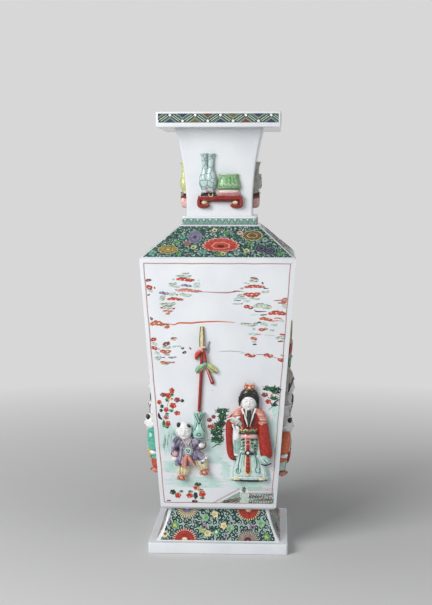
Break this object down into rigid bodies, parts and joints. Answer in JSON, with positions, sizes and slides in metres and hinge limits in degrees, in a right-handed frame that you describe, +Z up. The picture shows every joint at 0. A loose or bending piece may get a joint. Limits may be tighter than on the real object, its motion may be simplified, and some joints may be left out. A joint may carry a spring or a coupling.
{
  "type": "square vase",
  "caption": "Tapering square-section porcelain vase with a sloping shoulder, flared neck, dished square mouth, spreading foot and applied relief figures.",
  "frame": {"origin": "middle of the square that the foot rim rests on, on the table", "axes": "+Z up the vase's axis, +X to the right of its front face, -Y out of its front face"},
  "size_m": [0.1812, 0.181, 0.52],
  "materials": {
    "glaze": "glossy clear glaze on white porcelain, faintly blue",
    "verte": "glossy overglaze enamels, mostly green and black",
    "turquoise": "glossy turquoise enamel",
    "iron_red": "thin iron-red enamel",
    "aubergine": "glossy aubergine enamel",
    "celadon": "pale turquoise glaze with a painted crackle",
    "leaf_green": "glossy leaf-green enamel"
  },
  "bodies": {
    "root": {"foot_rim_front": "glaze", "foot_rim_right": "glaze", "foot_rim_back": "glaze", "foot_rim_left": "glaze", "foot_skirt_front": "verte", "foot_skirt_right": "verte", "foot_skirt_back": "verte", "foot_skirt_left": "verte", "body_floor": "glaze", "body_wall_front": "glaze", "body_wall_right": "glaze", "body_wall_back": "glaze", "body_wall_left": "glaze", "shoulder_front": "verte", "shoulder_right": "verte", "shoulder_back": "verte", "shoulder_left": "verte", "neck_collar": "turquoise", "neck_wall_front": "glaze", "neck_wall_right": "glaze", "neck_wall_back": "glaze", "neck_wall_left": "glaze", "mouth_plate": "glaze", "mouth_band_front": "verte", "mouth_band_right": "verte", "mouth_band_back": "verte", "mouth_band_left": "verte", "relief_front_adult": "iron_red", "relief_front_boy": "aubergine", "relief_front_jar": "turquoise", "relief_front_staff": "iron_red", "relief_right_adult": "iron_red", "relief_right_boy": "aubergine", "relief_right_jar": "turquoise", "relief_right_staff": "iron_red", "relief_back_adult": "iron_red", "relief_back_boy": "aubergine", "relief_back_jar": "turquoise", "relief_back_staff": "iron_red", "relief_left_adult": "iron_red", "relief_left_boy": "aubergine", "relief_left_jar": "turquoise", "relief_left_staff": "iron_red", "relief_neck_front_stand": "iron_red", "relief_neck_front_vase": "celadon", "relief_neck_front_censer": "leaf_green", "relief_neck_right_stand": "iron_red", "relief_neck_right_vase": "celadon", "relief_neck_right_censer": "leaf_green", "relief_neck_back_stand": "iron_red", "relief_neck_back_vase": "celadon", "relief_neck_back_censer": "leaf_green", "relief_neck_left_stand": "iron_red", "relief_neck_left_vase": "celadon", "relief_neck_left_censer": "leaf_green"}
  },
  "joints": []
}
